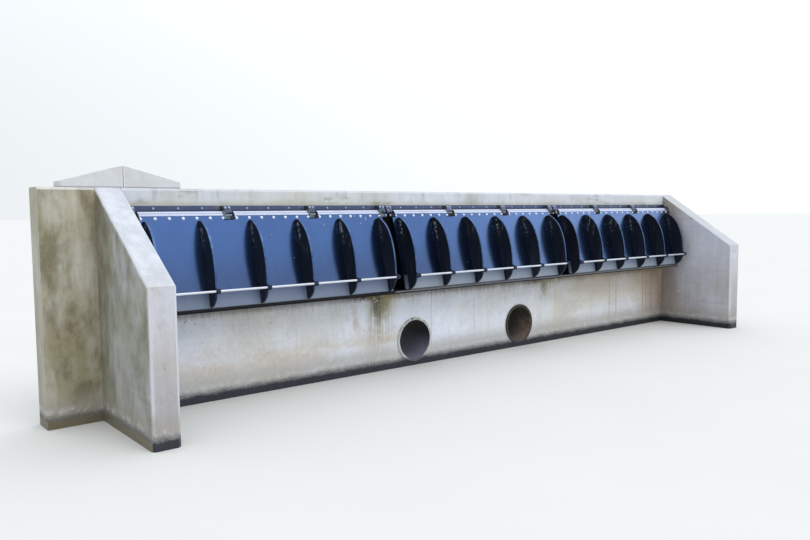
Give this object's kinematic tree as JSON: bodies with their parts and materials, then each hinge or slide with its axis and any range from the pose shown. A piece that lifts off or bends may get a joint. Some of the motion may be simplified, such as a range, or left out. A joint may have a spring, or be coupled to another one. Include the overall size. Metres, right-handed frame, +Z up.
{
  "type": "outfall headwall with flap gates",
  "caption": "Concrete outfall headwall with sloping wing walls, two low pipe outlets and a row of top-hung ribbed flap gates.",
  "frame": {"origin": "middle between the wing walls, on the front face of the headwall at its foot, where it meets the water", "axes": "+X along the wall, to the right seen from the water; +Y into the wall, away from the water; +Z up"},
  "size_m": [11.07, 1.975, 2.601],
  "materials": {
    "concrete": "matte",
    "coping_concrete": "matte",
    "pipe_concrete": "matte",
    "dark_plastic": "matte",
    "flap_plastic": "glossy",
    "rib_plastic": "glossy",
    "apron_plastic": "glossy",
    "hinge_metal": "satin",
    "lug_metal": "satin",
    "steel": "satin",
    "lip_metal": "satin",
    "seal_rubber": "matte"
  },
  "bodies": {
    "headwall": {"lower_wall": "concrete", "top_beam": "concrete", "left_pier": "concrete", "right_pier": "concrete", "left_end_pier": "concrete", "right_end_pier": "concrete", "left_wing_wall": "concrete", "right_wing_wall": "concrete", "left_wall_end": "concrete", "left_coping": "coping_concrete", "left_pipe": "pipe_concrete", "right_pipe": "pipe_concrete", "top_frame": "dark_plastic", "seat_cheeks": "dark_plastic", "sill_plates": "dark_plastic", "pier_covers": "dark_plastic", "hinge_brackets": "hinge_metal", "hinge_pins": "steel"},
    "left_flap": {"left_flap_plate": "flap_plastic", "left_flap_lip": "lip_metal", "left_flap_ribs": "rib_plastic", "left_flap_rod": "steel", "left_flap_apron": "apron_plastic", "left_flap_hinges": "lug_metal", "left_flap_seal": "seal_rubber"},
    "mid_flap": {"mid_flap_plate": "flap_plastic", "mid_flap_lip": "lip_metal", "mid_flap_ribs": "rib_plastic", "mid_flap_rod": "steel", "mid_flap_apron": "apron_plastic", "mid_flap_hinges": "lug_metal", "mid_flap_seal": "seal_rubber"},
    "right_flap": {"right_flap_plate": "flap_plastic", "right_flap_lip": "lip_metal", "right_flap_ribs": "rib_plastic", "right_flap_rod": "steel", "right_flap_apron": "apron_plastic", "right_flap_hinges": "lug_metal", "right_flap_seal": "seal_rubber"}
  },
  "joints": [
    {"name": "left_flap_hinge", "type": "hinge", "parent": "headwall", "child": "left_flap", "pos_m": [-3.34, -0.097, 2.112], "axis": [-1, 0, 0], "range_deg": [0, 70]},
    {"name": "mid_flap_hinge", "type": "hinge", "parent": "headwall", "child": "mid_flap", "pos_m": [0, -0.097, 2.112], "axis": [-1, 0, 0], "range_deg": [0, 70]},
    {"name": "right_flap_hinge", "type": "hinge", "parent": "headwall", "child": "right_flap", "pos_m": [3.34, -0.097, 2.112], "axis": [-1, 0, 0], "range_deg": [0, 70]}
  ]
}
